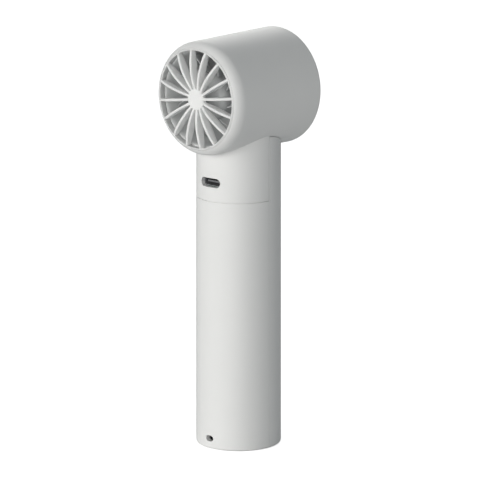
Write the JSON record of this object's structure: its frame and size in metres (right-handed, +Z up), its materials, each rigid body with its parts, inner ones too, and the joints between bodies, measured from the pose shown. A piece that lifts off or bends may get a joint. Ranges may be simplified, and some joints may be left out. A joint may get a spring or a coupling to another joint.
{
  "type": "handheld electric fan",
  "caption": "Cordless handheld fan: a round upright handle with a ribbed ducted impeller in a short horizontal barrel on top.",
  "frame": {"origin": "middle of the handle's flat base, on the surface that the fan stands on", "axes": "+Z up along the handle's axis; -Y is the way the front grille faces and the air leaves, along the barrel's axis; +X is to the right of someone who looks along +Y at the front grille"},
  "size_m": [0.0442, 0.0466, 0.157],
  "materials": {
    "shell_plastic": "satin white moulded plastic with a fine texture",
    "grille_plastic": "satin white moulded plastic, smoother than the shells",
    "duct_plastic": "satin white moulded plastic, finer than the shells",
    "impeller_plastic": "satin mid grey moulded plastic",
    "button_plastic": "satin white moulded plastic, smoother than the shells",
    "core_steel": "stacked laminations with a dark coating",
    "copper_wire": "enamelled copper wire, gloss",
    "circuit_board": "green solder mask, satin",
    "bearing_bronze": "porous sintered bronze, matte",
    "plated_steel": "satin nickel plating",
    "magnet": "matte dark grey bonded magnet",
    "lead_sleeve": "satin red insulation",
    "chip_black": "matte dark grey moulded plastic",
    "socket_steel": "drawn steel, darkened, satin",
    "lamp_lens": "gloss pale lens",
    "clear_plastic": "clear moulded plastic, gloss",
    "cell_sleeve": "blue shrink sleeve over a steel can, satin",
    "pad_foam": "matte dark grey foam",
    "screw_steel": "zinc plated steel, satin"
  },
  "bodies": {
    "housing": {"head_shell": "shell_plastic", "rear_shell": "shell_plastic", "front_cover": "shell_plastic", "front_grille": "grille_plastic", "rear_grille": "grille_plastic", "air_duct": "duct_plastic", "motor_mount": "duct_plastic", "motor_core": "core_steel", "motor_windings": "copper_wire", "motor_board": "circuit_board", "front_bearing": "bearing_bronze", "rear_bearing": "bearing_bronze", "motor_leads": "lead_sleeve", "control_board": "circuit_board", "board_chips": "chip_black", "usb_socket": "socket_steel", "usb_tongue": "chip_black", "switch_body": "chip_black", "indicator_lamp": "lamp_lens", "light_guide": "clear_plastic", "battery_cell": "cell_sleeve", "battery_tabs": "plated_steel", "battery_pad": "pad_foam", "battery_leads": "lead_sleeve", "board_screws": "screw_steel", "neck_screws": "screw_steel"},
    "impeller": {"impeller": "impeller_plastic", "rotor_cup": "plated_steel", "rotor_magnet": "magnet", "motor_shaft": "plated_steel", "shaft_clip": "plated_steel"},
    "button": {"power_button": "button_plastic"},
    "plunger": {"switch_plunger": "chip_black"}
  },
  "joints": [
    {"name": "impeller_spin", "type": "hinge", "parent": "housing", "child": "impeller", "pos_m": [0, -0.01, 0.13495], "axis": [0, -1, 0], "continuous": true},
    {"name": "button_press", "type": "slide", "parent": "housing", "child": "button", "axis": [0, -1, 0], "range_m": [0, 0.00035], "stiffness_N_per_m": 1500, "springref_m": -0.0003},
    {"name": "switch_press", "type": "slide", "parent": "housing", "child": "plunger", "axis": [0, -1, 0], "range_m": [0, 0.00035]}
  ],
  "couplings": [
    {"joint": "switch_press", "follows": "button_press", "ratio": 1}
  ]
}
